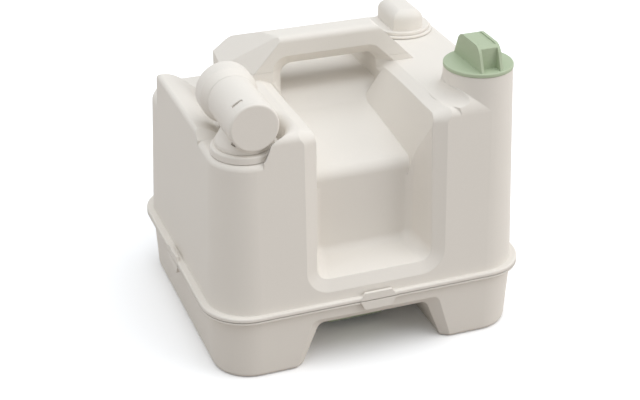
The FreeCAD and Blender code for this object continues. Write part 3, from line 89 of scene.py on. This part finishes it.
def new_material(name):
    """An empty node material and its tree."""
    material = bpy.data.materials.new(name)
    material.use_nodes = True
    tree = material.node_tree
    tree.nodes.clear()
    return material, tree


def add(tree, kind, **values):
    """A shader node with some of its properties set."""
    node = tree.nodes.new(kind)
    for name, value in values.items():
        setattr(node, name, value)
    return node


def surface(name):
    """A material with one surface shader, and the place of its textures."""
    material, tree = new_material(name)
    output = add(tree, "ShaderNodeOutputMaterial")
    shader = add(tree, "ShaderNodeBsdfPrincipled")
    tree.links.new(shader.outputs["BSDF"], output.inputs["Surface"])
    place = add(tree, "ShaderNodeTexCoord")
    return material, tree, shader, place


def noise(tree, place, scale, detail, roughness=0.5):
    """A noise texture's value, in the object's own metres."""
    node = add(tree, "ShaderNodeTexNoise")
    node.inputs["Scale"].default_value = scale
    node.inputs["Detail"].default_value = detail
    node.inputs["Roughness"].default_value = roughness
    tree.links.new(place.outputs["Object"], node.inputs["Vector"])
    return node.outputs["Fac"]


def spread(tree, source, low, high):
    """A noise value stretched to a range of its own."""
    node = add(tree, "ShaderNodeMapRange")
    node.inputs["From Min"].default_value = NOISE_LOW
    node.inputs["From Max"].default_value = NOISE_HIGH
    node.inputs["To Min"].default_value = low
    node.inputs["To Max"].default_value = high
    tree.links.new(source, node.inputs["Value"])
    return node.outputs["Result"]


def tint(tree, shader, share, deep, pale):
    """Colours a shader between two tints."""
    mix = add(tree, "ShaderNodeMix", data_type="RGBA")
    mix.inputs["A"].default_value = (*deep, 1.0)
    mix.inputs["B"].default_value = (*pale, 1.0)
    tree.links.new(share, mix.inputs["Factor"])
    tree.links.new(mix.outputs["Result"], shader.inputs["Base Color"])


def relief(tree, shader, height, strength, high):
    """Gives a shader a fine relief, and returns its node."""
    bump = add(tree, "ShaderNodeBump")
    bump.inputs["Strength"].default_value = strength
    bump.inputs["Distance"].default_value = high
    tree.links.new(height, bump.inputs["Height"])
    tree.links.new(bump.outputs["Normal"], shader.inputs["Normal"])
    return bump


def moulded(name, deep, pale, rough, grain, edge):
    """Moulded plastic: a fine spark-eroded grain, faint cloudiness and softly broken edges."""
    material, tree, shader, place = surface(name)
    shader.inputs["IOR"].default_value = PLASTIC_INDEX
    shader.inputs["Specular IOR Level"].default_value = PLASTIC_SHINE
    cloud = noise(tree, place, CLOUD_SCALE, detail=4.0)
    speck = noise(tree, place, SPECK_SCALE, detail=3.0, roughness=0.65)
    grit = noise(tree, place, GRIT_SCALE, detail=2.0, roughness=0.6)
    share = add(tree, "ShaderNodeMath", operation="ADD")
    tree.links.new(spread(tree, cloud, *CLOUD_SHARE), share.inputs[0])
    tree.links.new(spread(tree, speck, *SPECK_SHARE), share.inputs[1])
    tint(tree, shader, share.outputs["Value"], deep, pale)
    tree.links.new(spread(tree, speck, *rough), shader.inputs["Roughness"])
    soft = add(tree, "ShaderNodeBevel", samples=EDGE_SAMPLES)
    soft.inputs["Radius"].default_value = edge
    bump = relief(tree, shader, grit, grain, GRIT_HIGH)
    tree.links.new(soft.outputs["Normal"], bump.inputs["Normal"])
    return material


def rubber(name):
    """Dark seal rubber with a dusty bloom."""
    material, tree, shader, place = surface(name)
    bloom = noise(tree, place, BLOOM_SCALE, detail=4.0)
    tint(tree, shader, spread(tree, bloom, 0.0, 1.0), RUBBER_DEEP, RUBBER_PALE)
    tree.links.new(spread(tree, bloom, *RUBBER_ROUGH), shader.inputs["Roughness"])
    grit = noise(tree, place, RUBBER_GRIT_SCALE, detail=2.0)
    relief(tree, shader, grit, RUBBER_GRAIN, RUBBER_GRIT_HIGH)
    return material


def steel(name):
    """Plain zinc-plated steel of the screws."""
    material, tree, shader, place = surface(name)
    shader.inputs["Metallic"].default_value = 1.0
    mottle = noise(tree, place, MOTTLE_SCALE, detail=4.0)
    tint(tree, shader, spread(tree, mottle, 0.0, 1.0), STEEL_DEEP, STEEL_PALE)
    tree.links.new(spread(tree, mottle, *STEEL_ROUGH), shader.inputs["Roughness"])
    return material


# Materials of the pieces: the large mouldings have a coarser grain than the fittings
LARGE_MOULDINGS = ("upper_shell", "lower_shell", "carry_handle")
large_plastic = moulded("shell_plastic", SHELL_DEEP, SHELL_PALE, rough=(0.52, 0.66), grain=0.22, edge=0.0012)
slot_materials = {
    "shell": moulded("fitting_plastic", SHELL_DEEP, SHELL_PALE, rough=(0.48, 0.6), grain=0.14, edge=0.0007),
    "green": moulded("green_plastic", GREEN_DEEP, GREEN_PALE, rough=(0.46, 0.6), grain=0.16, edge=0.0008),
    "seal": rubber("seal_rubber"),
    "steel": steel("screw_steel"),
}
for subpart in frame["record"]["subparts"]:
    node = frame["nodes"][subpart["node"]]
    chosen = slot_materials[subpart["material_slot"]]
    if subpart["node"] in LARGE_MOULDINGS:
        chosen = large_plastic
    node.data.materials.clear()
    node.data.materials.append(chosen)


def seen_rays(tree):
    """A value of one for the rays that show a surface rather than light another one."""
    ray = add(tree, "ShaderNodeLightPath")
    direct = add(tree, "ShaderNodeMath", operation="MAXIMUM")
    tree.links.new(ray.outputs["Is Camera Ray"], direct.inputs[0])
    tree.links.new(ray.outputs["Is Glossy Ray"], direct.inputs[1])
    every = add(tree, "ShaderNodeMath", operation="MAXIMUM")
    tree.links.new(direct.outputs["Value"], every.inputs[0])
    tree.links.new(ray.outputs["Is Transmission Ray"], every.inputs[1])
    return every.outputs["Value"]


def two_ways(tree, lighting, showing, output):
    """Joins the shader that lights other surfaces with the one that is seen."""
    mix = add(tree, "ShaderNodeMixShader")
    tree.links.new(seen_rays(tree), mix.inputs["Fac"])
    tree.links.new(lighting, mix.inputs[1])
    tree.links.new(showing, mix.inputs[2])
    tree.links.new(mix.outputs["Shader"], output.inputs["Surface"])


def plain(tree, kind, socket, colour):
    """A shader of one kind in one colour."""
    node = add(tree, kind)
    node.inputs["Color"].default_value = (*colour, 1.0)
    return node.outputs[socket]


def link(thing):
    """Puts a new object in the scene."""
    bpy.context.scene.collection.objects.link(thing)
    return thing


# Floor
floor_mesh = bpy.data.meshes.new("floor")
floor_mesh.from_pydata([(-FLOOR_HALF, -FLOOR_HALF, 0), (FLOOR_HALF, -FLOOR_HALF, 0),
                        (FLOOR_HALF, FLOOR_HALF, 0), (-FLOOR_HALF, FLOOR_HALF, 0)], [], [(0, 1, 2, 3)])
floor = link(bpy.data.objects.new("floor", floor_mesh))
floor_paint, floor_tree = new_material("floor_paint")
two_ways(floor_tree, plain(floor_tree, "ShaderNodeBsdfDiffuse", "BSDF", FLOOR_BOUNCE),
         plain(floor_tree, "ShaderNodeBsdfDiffuse", "BSDF", FLOOR_SEEN),
         add(floor_tree, "ShaderNodeOutputMaterial"))
floor_mesh.materials.append(floor_paint)

# Sky
world = bpy.data.worlds.new("sky")
bpy.context.scene.world = world
world.use_nodes = True
sky = world.node_tree
sky.nodes.clear()
two_ways(sky, plain(sky, "ShaderNodeBackground", "Background", SKY_LEVEL),
         plain(sky, "ShaderNodeBackground", "Background", SKY_SEEN), add(sky, "ShaderNodeOutputWorld"))

# Suns
for name, level, colour, source, width in (("top", TOP_LEVEL, TOP_COLOUR, TOP_FROM, TOP_SPREAD),
                                           ("key", KEY_LEVEL, KEY_COLOUR, KEY_FROM, KEY_SPREAD),
                                           ("fill", FILL_LEVEL, FILL_COLOUR, FILL_FROM, FILL_SPREAD)):
    lamp_data = bpy.data.lights.new(name, "SUN")
    lamp_data.energy = level
    lamp_data.color = colour
    lamp_data.angle = width
    lamp = link(bpy.data.objects.new(name, lamp_data))
    lamp.rotation_euler = source.to_track_quat("Z", "Y").to_euler()

# Camera
camera_data = bpy.data.cameras.new("camera")
camera_data.lens = CAMERA_LENS
camera_data.sensor_width = SENSOR_WIDE
camera_data.sensor_fit = "HORIZONTAL"
camera = link(bpy.data.objects.new("camera", camera_data))
backwards = Vector((math.sin(CAMERA_AZIMUTH) * math.cos(CAMERA_ELEVATION),
                    -math.cos(CAMERA_AZIMUTH) * math.cos(CAMERA_ELEVATION), math.sin(CAMERA_ELEVATION)))
camera.location = CAMERA_TARGET + backwards * CAMERA_DISTANCE
camera.rotation_euler = backwards.to_track_quat("Z", "Y").to_euler()
bpy.context.scene.camera = camera
bpy.context.scene.view_settings.view_transform = "Standard"
